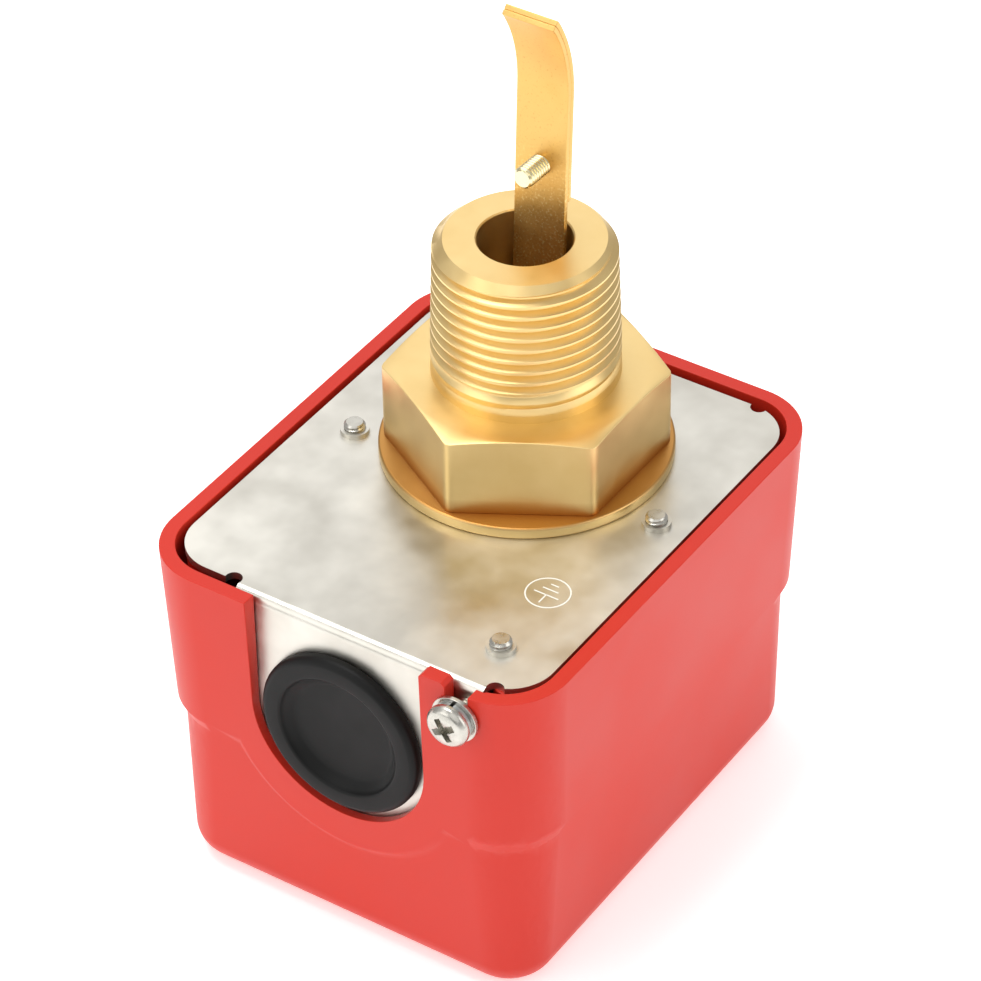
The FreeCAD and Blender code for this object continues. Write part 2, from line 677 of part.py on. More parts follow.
def pad_face_x():
    a = math.radians(REST_LEAN)
    return PAD_X0 * math.cos(a) + PAD_HEIGHT * math.sin(a)


def microswitch_button():
    """Plunger, held in by the lever's pad at rest."""
    button = rod(BUTTON_R, button_point(SWITCH_FACE_X - BUTTON_INSIDE),
                 button_point(pad_face_x() - BUTTON_TO_PAD))
    tip = [edge for edge in button.Edges if edge.Closed and edge.CenterOfMass.x > SWITCH_FACE_X]
    return button.makeChamfer(BUTTON_CHAMFER, tip)


def terminal_span():
    return (SWITCH_BACK_X - TERMINAL_LENGTH, SWITCH_BACK_X)


def microswitch_terminals():
    """Three brass tabs, each with a tapped hole for its clamp screw."""
    x0, x1 = terminal_span()
    tabs = []
    for z in TERMINAL_HEIGHTS:
        tab = box(x0, x1, -TERMINAL_HALF_Y, TERMINAL_HALF_Y, z, z + TERMINAL_T)
        tabs.append(tab.cut(rod(M3_R, V(TERMINAL_SCREW_X, 0, z), V(TERMINAL_SCREW_X, 0, z + TERMINAL_T))))
    return tabs


def terminal_screws():
    return [pan_screw(V(TERMINAL_SCREW_X, 0, z), Z_AXIS, M3_R, M3_HEAD_R, M3_HEAD_H, 4.0)
            for z in TERMINAL_HEIGHTS]


def microswitch_screws():
    return [pan_screw(V(x, -SWITCH_HALF_Y, z), Y_AXIS, M3_R, M3_HEAD_R, M3_HEAD_H,
                      2 * SWITCH_HALF_Y + SHEET + 1)
            for x, z in SWITCH_SCREWS]


# ---- range adjustment ----

def on_range_axis(x):
    return V(x, 0, RANGE_Z)


def range_screw():
    collar_x = RANGE_TAB_X - SHEET - THREAD_PLAY
    head_x = RANGE_TAB_X + THREAD_PLAY
    shank = rod(M4_R, on_range_axis(RANGE_SCREW_TIP_X), on_range_axis(head_x))
    collar = rod(RANGE_COLLAR_R, on_range_axis(collar_x - RANGE_COLLAR_T), on_range_axis(collar_x))
    head = rod(M4_HEAD_R, on_range_axis(head_x), on_range_axis(head_x + M4_HEAD_H))
    drive = box(head_x + M4_HEAD_H - 1.2, head_x + M4_HEAD_H, -M4_HEAD_R, M4_HEAD_R,
                RANGE_Z - 0.5, RANGE_Z + 0.5)
    return shank.fuse([collar, head]).removeSplitter().cut(drive)


def range_nut():
    """Square nut, kept from turning by the frame's shelf."""
    nut = box(RANGE_NUT_X, RANGE_NUT_X + RANGE_NUT_T, -RANGE_NUT_HALF, RANGE_NUT_HALF,
              RANGE_Z - RANGE_NUT_HALF, RANGE_Z + RANGE_NUT_HALF)
    bore = rod(M4_R + THREAD_PLAY, on_range_axis(RANGE_NUT_X), on_range_axis(RANGE_NUT_X + RANGE_NUT_T))
    return nut.cut(bore)


def range_spring():
    """Compression spring between the lever's seat and the nut."""
    a = math.radians(REST_LEAN)
    seat_x = SEAT_X[1] * math.cos(a) + SEAT_HEIGHT * math.sin(a)
    x0 = seat_x + SEAT_R * math.sin(a) + SPRING_WIRE_R + 0.1
    length = RANGE_NUT_X - SPRING_WIRE_R - 0.05 - x0
    helix = Part.makeHelix(length / SPRING_TURNS, length, SPRING_MEAN_R)
    corners = [V(SPRING_MEAN_R, 0, 0) + polar(SPRING_WIRE_R, 45 * i) for i in range(8)]
    for corner in corners:
        corner.z = corner.y
        corner.y = 0
    section = Part.makePolygon(corners + corners[:1])
    coil = Part.Wire(helix).makePipeShell([section], True, True)
    coil.rotate(V(0, 0, 0), Y_AXIS, 90)
    coil.translate(on_range_axis(x0))
    return coil


# ---- earth screw ----

def earth_washer():
    top = V(EARTH_X, EARTH_Y, PLATE_BOTTOM)
    return ring(EARTH_WASHER_R, M4_R + HOLE_PLAY, top - Z_AXIS * EARTH_WASHER_T, top)


def earth_screw():
    seat = V(EARTH_X, EARTH_Y, PLATE_BOTTOM - EARTH_WASHER_T)
    return pan_screw(seat, Z_AXIS, M4_R, M4_HEAD_R, M4_HEAD_H,
                     EARTH_WASHER_T + PLATE_THICKNESS + STUB_H)


NODES = {
    "cover": cover,
    "base_plate": base_plate,
    "pipe_fitting": pipe_fitting,
    "fitting_screws": fitting_screws,
    "cable_plug": cable_plug,
    "cover_screw": cover_screw,
    "cover_spring_washer": cover_spring_washer,
    "cover_flat_washer": cover_flat_washer,
    "paddle_arm": paddle_arm,
    "paddle_blade": paddle_blade,
    "paddle_screw": paddle_screw,
    "lever_stem": lever_stem,
    "bellows": bellows,
    "pivot_pin": pivot_pin,
    "mechanism_frame": mechanism_frame,
    "frame_screws": frame_screws,
    "microswitch_case": microswitch_case,
    "microswitch_button": microswitch_button,
    "microswitch_terminals": microswitch_terminals,
    "terminal_screws": terminal_screws,
    "microswitch_screws": microswitch_screws,
    "range_screw": range_screw,
    "range_nut": range_nut,
    "range_spring": range_spring,
    "earth_screw": earth_screw,
    "earth_washer": earth_washer,
}


def main():
    os.makedirs("parts", exist_ok=True)
    for name, make in NODES.items():
        made = make()
        solids = made if isinstance(made, list) else made.Solids
        shape = Part.makeCompound(solids) if len(solids) > 1 else solids[0]
        shape.exportStep("parts/" + name + ".step")
        print(name, len(solids), "solid" if shape.isValid() else "NOT VALID", round(shape.Volume, 1))


main()
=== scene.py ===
import bpy
import bmesh
import math
from mathutils import Matrix, Vector


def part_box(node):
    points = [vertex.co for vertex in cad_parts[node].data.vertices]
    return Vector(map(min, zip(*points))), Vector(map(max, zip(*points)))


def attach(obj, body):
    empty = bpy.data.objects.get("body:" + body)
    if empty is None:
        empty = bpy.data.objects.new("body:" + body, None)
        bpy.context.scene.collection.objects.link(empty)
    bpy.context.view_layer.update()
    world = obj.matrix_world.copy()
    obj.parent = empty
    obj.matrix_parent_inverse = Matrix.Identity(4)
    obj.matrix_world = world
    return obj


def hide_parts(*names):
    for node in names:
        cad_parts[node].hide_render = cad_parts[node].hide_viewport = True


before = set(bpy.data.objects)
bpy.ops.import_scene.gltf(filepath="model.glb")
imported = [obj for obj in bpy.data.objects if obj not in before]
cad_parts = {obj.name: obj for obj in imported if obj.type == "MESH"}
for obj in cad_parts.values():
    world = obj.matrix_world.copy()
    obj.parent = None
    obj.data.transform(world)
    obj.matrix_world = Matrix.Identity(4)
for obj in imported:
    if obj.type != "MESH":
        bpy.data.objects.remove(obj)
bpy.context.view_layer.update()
print("frame loaded:", len(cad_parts), "nodes")

mm = 0.001
xAxis = Vector((1, 0, 0))
yAxis = Vector((0, 1, 0))
zAxis = Vector((0, 0, 1))
origin = (0, 0, 0)
mergeGap = 0.001 * mm  # points nearer than this are one point
levelGap = 0.01 * mm  # points within this of a height stand at it
flatAngle = math.radians(0.4)  # faces that turn by less than this are one face
sharpAngle = math.radians(35)  # edges that turn by more than this stay edges
mixFactor = 0  # the Mix node's colour sockets share their names, so they go by number
mixFirst = 6
mixSecond = 7
mixResult = 2


def linear(hexColour):
    channels = [int(hexColour[i:i + 2], 16) / 255 for i in (0, 2, 4)]
    curved = [c / 12.92 if c <= 0.04045 else ((c + 0.055) / 1.055) ** 2.4 for c in channels]
    return curved + [1.0]


def addNode(tree, kind, inputs=None, **settings):
    # an input is linked where it is given a socket, and set where it is given a value
    node = tree.nodes.new(kind)
    for name, value in settings.items():
        setattr(node, name, value)
    for key, value in (inputs or {}).items():
        if isinstance(value, bpy.types.NodeSocket):
            tree.links.new(value, node.inputs[key])
        else:
            node.inputs[key].default_value = value
    return node


def unevenSurface(name, size):
    # soft clouds carry the tint, the gloss and a shallow ripple together, and a finer grain lies over them
    material = bpy.data.materials.new(name)
    material.use_nodes = True
    tree = material.node_tree
    shader = tree.nodes["Principled BSDF"]
    for socket, value in size["shader"].items():
        shader.inputs[socket].default_value = value  # what is the same all over stays on its own socket
    place = addNode(tree, "ShaderNodeTexCoord", name="place").outputs["Object"]
    clouds = addNode(tree, "ShaderNodeTexNoise", {
        "Vector": place,
        "Scale": 1 / size["clouds"],
        "Detail": size["cloudDetail"],
    }, name="clouds").outputs["Fac"]
    tint = addNode(tree, "ShaderNodeMix", {
        mixFactor: clouds,
        mixFirst: linear(size["tints"][0]),
        mixSecond: linear(size["tints"][1]),
    }, data_type="RGBA", name="tint")
    tree.links.new(tint.outputs[mixResult], shader.inputs["Base Color"])
    if "gloss" in size:
        # the noise seldom leaves 0.3 to 0.7
        gloss = addNode(tree, "ShaderNodeMapRange", {
            "Value": clouds,
            "From Min": 0.3,
            "From Max": 0.7,
            "To Min": size["gloss"][0],
            "To Max": size["gloss"][1],
        })
        tree.links.new(gloss.outputs["Result"], shader.inputs["Roughness"])
    relief = {}
    if "ripple" in size:
        ripple = addNode(tree, "ShaderNodeBump", {"Height": clouds, **size["ripple"]})
        relief["Normal"] = ripple.outputs["Normal"]
    if "grain" in size:
        grain = size["grain"]
        drawn = addNode(tree, "ShaderNodeMapping", {"Vector": place, "Scale": grain["stretch"]})
        noise = addNode(tree, "ShaderNodeTexNoise", {
            "Vector": drawn.outputs["Vector"],
            "Scale": 1 / grain["size"],
            "Detail": grain["detail"],
        })
        height = noise.outputs["Fac"]
        bump = addNode(tree, "ShaderNodeBump", {"Height": height, **grain["relief"], **relief})
        relief["Normal"] = bump.outputs["Normal"]
    for socket, source in relief.items():
        tree.links.new(source, shader.inputs[socket])
    return material


# injection-moulded ABS: a saturated red with a soft, faintly rippled gloss
mouldedAbs = {
    "shader": {
        "IOR": 1.53,
        "Specular IOR Level": 0.28,
        "Subsurface Weight": 0.08,
        "Subsurface Scale": 1.2 * mm,
    },
    "tints": ("C82A1B", "D0301F"),
    "clouds": 22 * mm,
    "cloudDetail": 2.0,
    "gloss": (0.36, 0.45),
    "grain": {
        "size": 0.55 * mm,  # the mould's texture is finer: drawn this coarse so that it shows
        "detail": 3.0,
        "stretch": (1, 1, 1),
        "relief": {"Strength": 0.12, "Distance": 0.02 * mm},
    },
}
redAbs = unevenSurface("mouldedRedAbs", mouldedAbs)

# cold-rolled stainless sheet with a satin finish: milky, cloudy reflections and a fine grain along it
satinSteel = {
    "shader": {"Metallic": 1.0, "Anisotropic": 0.25},
    "tints": ("C4C0B6", "E2DFD6"),
    "clouds": 13 * mm,
    "cloudDetail": 3.0,
    "sheen": {"From Min": 0.32, "From Max": 0.68},
    "gloss": (0.28, 0.46),
    "ripple": {"Strength": 0.35, "Distance": 0.25 * mm},
    "grain": {
        "size": 0.35 * mm,  # rolling grain is finer: drawn this coarse so that it shows
        "detail": 2.0,
        "stretch": (0.06, 1, 1),
        "relief": {"Strength": 0.10, "Distance": 0.01 * mm},
    },
}
stainless = unevenSurface("satinStainlessSheet", satinSteel)


def addSheen(material, size):
    # firmer clouds than the other metals have
    tree = material.node_tree
    clouds = tree.nodes["clouds"].outputs["Fac"]
    sheen = addNode(tree, "ShaderNodeMapRange", {"Value": clouds, **size["sheen"]})
    tree.links.new(sheen.outputs["Result"], tree.nodes["tint"].inputs[mixFactor])


addSheen(stainless, satinSteel)

# free-cutting brass, turned and milled: bright yellow with fine tool rings and a slightly uneven sheen
turnedBrass = {
    "shader": {"Metallic": 1.0},
    "tints": ("E6C27E", "F8DDA0"),
    "clouds": 9 * mm,
    "cloudDetail": 3.0,
    "gloss": (0.30, 0.42),
    "ripple": {"Strength": 0.15, "Distance": 0.12 * mm},
    "grain": {
        "size": 0.28 * mm,  # the lathe's feed per turn
        "detail": 1.0,
        "stretch": (0.05, 0.05, 1),
        "relief": {"Strength": 0.12, "Distance": 0.008 * mm},
    },
    "tarnish": "B4762A",
    "tarnishStarts": {"From Min": 72.6 * mm, "From Max": 72.95 * mm, "To Min": 0.0, "To Max": 0.8},
    "tarnishEnds": {"From Min": 73.2 * mm, "From Max": 76.0 * mm, "To Min": 1.0, "To Max": 0.0},
}
brass = unevenSurface("turnedBrass", turnedBrass)


def addTarnish(material, size):
    # brown in the corner where the hexagon meets its flange
    tree = material.node_tree
    place = tree.nodes["place"].outputs["Object"]
    height = addNode(tree, "ShaderNodeSeparateXYZ", {"Vector": place}).outputs["Z"]
    starts = addNode(tree, "ShaderNodeMapRange", {"Value": height, **size["tarnishStarts"]})
    ends = addNode(tree, "ShaderNodeMapRange", {"Value": height, **size["tarnishEnds"]})
    share = addNode(tree, "ShaderNodeMath", {
        0: starts.outputs["Result"],
        1: ends.outputs["Result"],
    }, operation="MULTIPLY")
    tarnished = addNode(tree, "ShaderNodeMix", {
        mixFactor: share.outputs["Value"],
        mixFirst: tree.nodes["tint"].outputs[mixResult],
        mixSecond: linear(size["tarnish"]),
    }, data_type="RGBA")
    tree.links.new(tarnished.outputs[mixResult], tree.nodes["Principled BSDF"].inputs["Base Color"])


addTarnish(brass, turnedBrass)

# rolled brass strip: a duller yellow, with rolling lines along its length, brown specks and painted glints
# low down
rolledBrass = {
    "shader": {"Metallic": 1.0},
    "tints": ("D4A55A", "EFCA80"),
    "clouds": 11 * mm,
    "cloudDetail": 3.0,
    "gloss": (0.36, 0.50),
    "ripple": {"Strength": 0.2, "Distance": 0.15 * mm},
    "grain": {
        "size": 0.3 * mm,  # rolling lines are finer: drawn this coarse so that they show
        "detail": 2.0,
        "stretch": (1, 1, 0.05),
        "relief": {"Strength": 0.12, "Distance": 0.01 * mm},
    },
    "speck": 0.45 * mm,
    "speckDetail": 3.0,
    "dull": "A8742E",
    "dullSpecks": {"From Min": 0.60, "From Max": 0.70, "To Min": 0.0, "To Max": 0.30},
    # painted glints: pale specks that stand in for highlights, strongest low on the strip
    "glint": "FFEFB4",
    "glintSpecks": {"From Min": 0.34, "From Max": 0.44, "To Min": 1.0, "To Max": 0.0},
    "glintHeights": {"From Min": 118 * mm, "From Max": 134 * mm, "To Min": 0.75, "To Max": 0.0},
}
stripBrass = unevenSurface("rolledBrassStrip", rolledBrass)


def addSpecksAndGlints(material, size):
    # dull specks of tarnish all over it, and painted glints where it leaves the bore: pale specks that
    # stand in for highlights
    tree = material.node_tree
    place = tree.nodes["place"].outputs["Object"]
    height = addNode(tree, "ShaderNodeSeparateXYZ", {"Vector": place}).outputs["Z"]
    specks = addNode(tree, "ShaderNodeTexNoise", {
        "Vector": place,
        "Scale": 1 / size["speck"],
        "Detail": size["speckDetail"],
    }).outputs["Fac"]
    dull = addNode(tree, "ShaderNodeMapRange", {"Value": specks, **size["dullSpecks"]})
    # the pale specks are painted highlights, not a colour the brass has
    glint = addNode(tree, "ShaderNodeMapRange", {"Value": specks, **size["glintSpecks"]})
    lowDown = addNode(tree, "ShaderNodeMapRange", {"Value": height, **size["glintHeights"]})
    share = addNode(tree, "ShaderNodeMath", {
        0: glint.outputs["Result"],
        1: lowDown.outputs["Result"],
    }, operation="MULTIPLY")
    dulled = addNode(tree, "ShaderNodeMix", {
        mixFactor: dull.outputs["Result"],
        mixFirst: tree.nodes["tint"].outputs[mixResult],
        mixSecond: linear(size["dull"]),
    }, data_type="RGBA")
    speckledAndGlinting = addNode(tree, "ShaderNodeMix", {
        mixFactor: share.outputs["Value"],
        mixFirst: dulled.outputs[mixResult],
        mixSecond: linear(size["glint"]),
    }, data_type="RGBA")
    tree.links.new(speckledAndGlinting.outputs[mixResult], tree.nodes["Principled BSDF"].inputs["Base Color"])


addSpecksAndGlints(stripBrass, rolledBrass)

# small metal parts: tiny uneven patches that show in the tint, the gloss and the relief alike
smallMetal = {
    "shader": {"Metallic": 1.0},
    "clouds": 1.6 * mm,
    "cloudDetail": 3.0,
    "ripple": {"Strength": 0.2, "Distance": 0.03 * mm},
}
brightZinc = {"tints": ("A9A69D", "DAD7CE"), "gloss": (0.22, 0.34)}  # electroplated: bright, hardly warm
yellowZinc = {"tints": ("E2D3A0", "FBF2CF"), "gloss": (0.17, 0.29)}  # passivated: a pale straw shine
springWire = {"tints": ("A6A9AB", "C9CCCE"), "gloss": (0.25, 0.37)}  # ground steel: a cool even grey
drawnBronze = {"tints": ("A8703C", "C98F58"), "gloss": (0.25, 0.37)}  # drawn tube: reddish brown
screwZinc = unevenSurface("brightZincPlate", {**smallMetal, **brightZinc})
stubZinc = unevenSurface("yellowZincPlate", {**smallMetal, **yellowZinc})
springSteel = unevenSurface("springSteel", {**smallMetal, **springWire})
bronze = unevenSurface("phosphorBronze", {**smallMetal, **drawnBronze})

# moulded nitrile rubber: near black, with a soft wide sheen and a faint dusty bloom
nitrile = {
    "shader": {"IOR": 1.52, "Specular IOR Level": 0.16},
    "tints": ("0E0E0E", "181817"),
    "clouds": 6 * mm,
    "cloudDetail": 3.0,
    "gloss": (0.44, 0.54),
    "grain": {
        "size": 0.3 * mm,  # the mould's texture is finer: drawn this coarse so that it shows
        "detail": 2.0,
        "stretch": (1, 1, 1),
        "relief": {"Strength": 0.15, "Distance": 0.02 * mm},
    },
}
rubber = unevenSurface("nitrileRubber", nitrile)

# filled mouldings: dull, with a fine flour of filler in them, and chalky where they are white
filledMoulding = {
    "shader": {"IOR": 1.58},
    "clouds": 0.4 * mm,  # the filler's larger grains
    "cloudDetail": 4.0,
    "gloss": (0.42, 0.55),
}
phenolic = unevenSurface("blackPhenolic", {**filledMoulding, "tints": ("1B1512", "2E2622")})
buttonNylon = unevenSurface("redNylon", {**filledMoulding, "tints": ("A5201A", "B93026")})
etching = unevenSurface("etchedMark", {**filledMoulding, "tints": ("F4F1E6", "FFFDF2")})
print("materials made:", len(bpy.data.materials))


def softenEdges(piece, width):
    bevel = piece.modifiers.new("softEdge", "BEVEL")
    bevel.width = width
    bevel.segments = 3
    bevel.limit_method = "ANGLE"
    bevel.angle_limit = sharpAngle
    bevel.harden_normals = True
    bevel.miter_outer = "MITER_ARC"
    weighted = piece.modifiers.new("flatFaces", "WEIGHTED_NORMAL")
    weighted.keep_sharp = True


def newPiece(name, bm, material, body, nodes=(), edge=0.0):
    mesh = bpy.data.meshes.new(name)
    bm.to_mesh(mesh)
    bm.free()
    mesh.shade_smooth()
    mesh.set_sharp_from_angle(angle=sharpAngle)
    mesh.materials.append(material)
    piece = bpy.data.objects.new(name, mesh)
    bpy.context.scene.collection.objects.link(piece)
    if edge:
        softenEdges(piece, edge)
    if nodes:
        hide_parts(*nodes)
    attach(piece, body)
    return piece


def copyOfNode(node):
    # the frame's mesh is loose triangles: the copy is merged and its flat faces made whole
    bm = bmesh.new()
    bm.from_mesh(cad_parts[node].data)
    bmesh.ops.remove_doubles(bm, verts=bm.verts, dist=mergeGap)
    bmesh.ops.dissolve_limit(bm, angle_limit=flatAngle, verts=bm.verts, edges=bm.edges)
    return bm


def edgesOf(made):
    return [g for g in made if isinstance(g, bmesh.types.BMEdge)]


def cornersOf(made):
    return [g for g in made if isinstance(g, bmesh.types.BMVert)]


def turned(profile, steps, rounding=0.0, corners=()):
    # profile is (radius, height) points about Z, rounded at the numbered corners
    bm = bmesh.new()
    points = [bm.verts.new((r, 0, z)) for r, z in profile]
    for pair in zip(points, points[1:]):
        bm.edges.new(pair)
    if rounding:
        chosen = [points[i] for i in corners]
        bmesh.ops.bevel(bm, geom=chosen, offset=rounding, segments=4, profile=0.5,
                        affect="VERTICES", material=-1)
    bmesh.ops.spin(bm, geom=bm.verts[:] + bm.edges[:], cent=origin, axis=zAxis,
                   angle=2 * math.pi, steps=steps, use_merge=True)
    bmesh.ops.remove_doubles(bm, verts=bm.verts, dist=mergeGap)
    bmesh.ops.recalc_face_normals(bm, faces=bm.faces)
    return bm


def boundaryAt(bm, height):
    return [e for e in bm.edges if e.is_boundary and all(abs(v.co.z - height) < levelGap for v in e.verts)]


def setRadius(verts, radius):
    for v in verts:
        across = math.hypot(v.co.x, v.co.y)
        v.co.x *= radius / across
        v.co.y *= radius / across


def grow(bm, edges, rings):
    # carries an open edge loop on through the given (radius, height) rings
    for radius, height in rings:
        made = bmesh.ops.extrude_edge_only(bm, edges=edges)["geom"]
        edges = edgesOf(made)
        corners = cornersOf(made)
        setRadius(corners, radius)
        for v in corners:
            v.co.z = height


# one thread: how far along the pitch, and how far up the flank
threadForm = ((0.0, 0.0), (0.16, 0.0), (0.50, 1.0), (0.66, 1.0))


def helicalSkin(size, low, high):
    # the thread form repeated every pitch and wound up through a full turn
    pitch = size["pitch"]
    root = size["radius"] - size["depth"]
    bm = bmesh.new()
    start = low - 1.5 * pitch  # below the lower cut, so that whole turns reach it
    turns = math.ceil((high - start) / pitch) + 1
    points = []
    for turn in range(turns):
        for along, rise in threadForm:
            points.append(bm.verts.new((root + size["depth"] * rise, 0, start + (turn + along) * pitch)))
    for pair in zip(points, points[1:]):
        bm.edges.new(pair)
    bmesh.ops.spin(bm, geom=bm.verts[:] + bm.edges[:], cent=origin, axis=zAxis,
                   dvec=(0, 0, pitch / size["steps"]), angle=2 * math.pi, steps=size["steps"])
    bmesh.ops.remove_doubles(bm, verts=bm.verts, dist=2 * mergeGap)
    for height, side in ((high, 1), (low, -1)):
        bmesh.ops.bisect_plane(bm, geom=bm.verts[:] + bm.edges[:] + bm.faces[:], dist=0.1 * mergeGap,
                               plane_co=(0, 0, height), plane_no=(0, 0, side), clear_outer=True)
    return bm


def threadedRod(size, low, high):
    # closed rod with a real thread, its two ends chamfered and capped
    bm = helicalSkin(size, low, high)
    for v in bm.verts:
        limit = size["radius"] - size["chamfer"] + min(high - v.co.z, v.co.z - low)
        if math.hypot(v.co.x, v.co.y) > limit:
            setRadius([v], limit)
    bmesh.ops.contextual_create(bm, geom=boundaryAt(bm, high))
    bmesh.ops.contextual_create(bm, geom=boundaryAt(bm, low))
    bmesh.ops.recalc_face_normals(bm, faces=bm.faces)
    return bm


def joined(bm, *others):
    for other in others:
        spare = bpy.data.meshes.new("spare")
        other.to_mesh(spare)
        other.free()
        bm.from_mesh(spare)
        bpy.data.meshes.remove(spare)
    return bm


def moved(bm, matrix):
    bmesh.ops.transform(bm, matrix=matrix, verts=bm.verts)
    return bm


def aimed(point, direction):
    # turns +Z to the direction, then carries the origin to the point
    turn = zAxis.rotation_difference(Vector(direction)).to_matrix().to_4x4()
    return Matrix.Translation(point) @ turn


def carve(piece, cutter):
    # cuts the cutter out of the piece and keeps the result as its mesh
    cut = piece.modifiers.new("cut", "BOOLEAN")
    cut.object = cutter
    cut.operation = "DIFFERENCE"
    cut.solver = "EXACT"
    cut.use_self = True  # the cutter's own parts cross each other
    bpy.context.view_layer.update()
    finished = bpy.data.meshes.new_from_object(piece.evaluated_get(bpy.context.evaluated_depsgraph_get()))
    piece.modifiers.remove(cut)
    piece.data = finished
    bpy.data.objects.remove(cutter)


fittingLow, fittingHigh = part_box("pipe_fitting")
fitting = {
    "bore": 8.57 * mm,
    "boreEdge": 0.25 * mm,
    "thread": {"pitch": 2.309 * mm, "depth": 1.25 * mm, "radius": 16.42 * mm, "steps": 160},
    "taper": 1 / 32,
    "noseFace": 14.53 * mm,
    "noseChamfer": 1.5 * mm,
    "threadEnd": 90.2 * mm,
    "runOut": 6.0 * mm,
    "neckStep": 0.15 * mm,
    "wallStep": 0.1 * mm,
    "footDrop": 0.5 * mm,
    "footEdge": 1.0 * mm,
    "hexTop": 89.0 * mm,
    "hexLow": 73.0 * mm,
    "hexFlat": 22.66 * mm,
    "hexCorner": 25.91 * mm,
    "hexSteps": 216,
    "hexSoftEdge": 0.12 * mm,
    "crown": 22.3 * mm,
    "crownDrop": 0.95 * mm,
    "flange": fittingHigh.x,
    "flangeLow": 70.7 * mm,
    "flangeRounding": 0.45 * mm,
    "flangeSteps": 160,
    "spigot": 14.5 * mm,
    "lip": 5.6 * mm,
    "lipTop": 67.2 * mm,
    "lipLow": 65.6 * mm,
    "chamber": 10.0 * mm,
}


def threadedNose():
    size = fitting
    thread = size["thread"]
    top = fittingHigh.z
    low = size["hexTop"]
    foot = low - size["footDrop"]
    slope = (thread["radius"] - size["noseFace"]) / size["noseChamfer"]
    bm = helicalSkin(thread, low, top)
    for v in bm.verts:
        # the taper widens it downwards, its last turns fade out, and a chamfer starts its nose
        below = top - v.co.z
        cut = thread["radius"] - math.hypot(v.co.x, v.co.y)
        fade = min(1, max(0, (v.co.z - size["threadEnd"]) / size["runOut"]))
        radius = thread["radius"] + below * size["taper"] - cut * fade - (1 - fade) * size["neckStep"]
        setRadius([v], min(radius, size["noseFace"] + below * slope))
    wall = max(math.hypot(v.co.x, v.co.y) for v in bm.verts if v.co.z < low + levelGap)
    grow(bm, boundaryAt(bm, low), (
        (wall, low - size["wallStep"]),
        (wall, foot),
        (size["bore"] + size["footEdge"], foot),
    ))
    grow(bm, boundaryAt(bm, top), (
        (size["bore"] + size["boreEdge"], top),
        (size["bore"], top - size["boreEdge"]),
        (size["bore"], foot),
    ))
    bmesh.ops.bridge_loops(bm, edges=boundaryAt(bm, foot))
    bmesh.ops.recalc_face_normals(bm, faces=bm.faces)
    return bm


def flatRadius(v):
    # how far out the hexagon's flat stands in the direction of a point
    angle = math.degrees(math.atan2(v.co.y, v.co.x)) % 60 - 30
    return min(fitting["hexFlat"] / math.cos(math.radians(angle)), fitting["hexCorner"])


def crownHeight(radius):
    share = max(0, (radius - fitting["crown"]) / (fitting["hexCorner"] - fitting["crown"]))
    return fitting["hexTop"] - fitting["crownDrop"] * share


def hexagonCollar():
    # a ring of points whose radius follows the six flats, under a turned crown
    size = fitting
    bm = bmesh.new()
    bmesh.ops.create_circle(bm, radius=1, segments=size["hexSteps"])
    edges = bm.edges[:]
    for v in bm.verts:
        setRadius([v], flatRadius(v))
        v.co.z = size["hexLow"]
    rings = (
        lambda v: (flatRadius(v), crownHeight(flatRadius(v))),
        lambda v: (size["crown"], size["hexTop"]),
        lambda v: (size["bore"], size["hexTop"]),
        lambda v: (size["bore"], size["hexLow"]),
    )
    for ring in rings:
        made = bmesh.ops.extrude_edge_only(bm, edges=edges)["geom"]
        edges = edgesOf(made)
        for v in cornersOf(made):
            radius, height = ring(v)
            setRadius([v], radius)
            v.co.z = height
    bmesh.ops.bridge_loops(bm, edges=boundaryAt(bm, size["hexLow"]))
    bmesh.ops.recalc_face_normals(bm, faces=bm.faces)
    return bm


def flangeAndSpigot():
    size = fitting
    profile = (
        (size["lip"], size["lipTop"]),
        (size["bore"], size["lipTop"]),
        (size["bore"], size["hexLow"]),
        (size["flange"], size["hexLow"]),
        (size["flange"], size["flangeLow"]),
        (size["spigot"], size["flangeLow"]),
        (size["spigot"], fittingLow.z),
        (size["chamber"], fittingLow.z),
        (size["chamber"], size["lipLow"]),
        (size["lip"], size["lipLow"]),
        (size["lip"], size["lipTop"]),
    )
    return turned(profile, size["flangeSteps"], size["flangeRounding"], (3, 4))


def makeFitting():
    bm = joined(threadedNose(), flangeAndSpigot())
    newPiece("threadedFitting", bm, brass, "housing", ["pipe_fitting"])
    newPiece("fittingHexagon", hexagonCollar(), brass, "housing",
             edge=fitting["hexSoftEdge"])


makeFitting()
print("fitting made")


cover = {"edge": 0.65 * mm}
plate = {"edge": 0.15 * mm}


def makeCover():
    newPiece("mouldedCover", copyOfNode("cover"), redAbs, "housing",
             ["cover"], cover["edge"])


def makePlate():
    newPiece("basePlate", copyOfNode("base_plate"), stainless, "housing",
             ["base_plate"], plate["edge"])


earthSign = {
    "centre": Vector((-32.86 * mm, -25.63 * mm, 0)),
    "radius": 4.0 * mm,
    "line": 0.25 * mm,
    "rise": 0.03 * mm,
    "bars": ((-0.6 * mm, 5.0 * mm), (0.9 * mm, 3.2 * mm), (2.3 * mm, 1.6 * mm)),  # place and width
    "stem": 2.4 * mm,
    "steps": 64,
}


def etchedBar(bm, low, high):
    made = bmesh.ops.create_cube(bm, size=1)["verts"]
    bmesh.ops.scale(bm, vec=high - low, verts=made)
    bmesh.ops.translate(bm, vec=(low + high) / 2, verts=made)


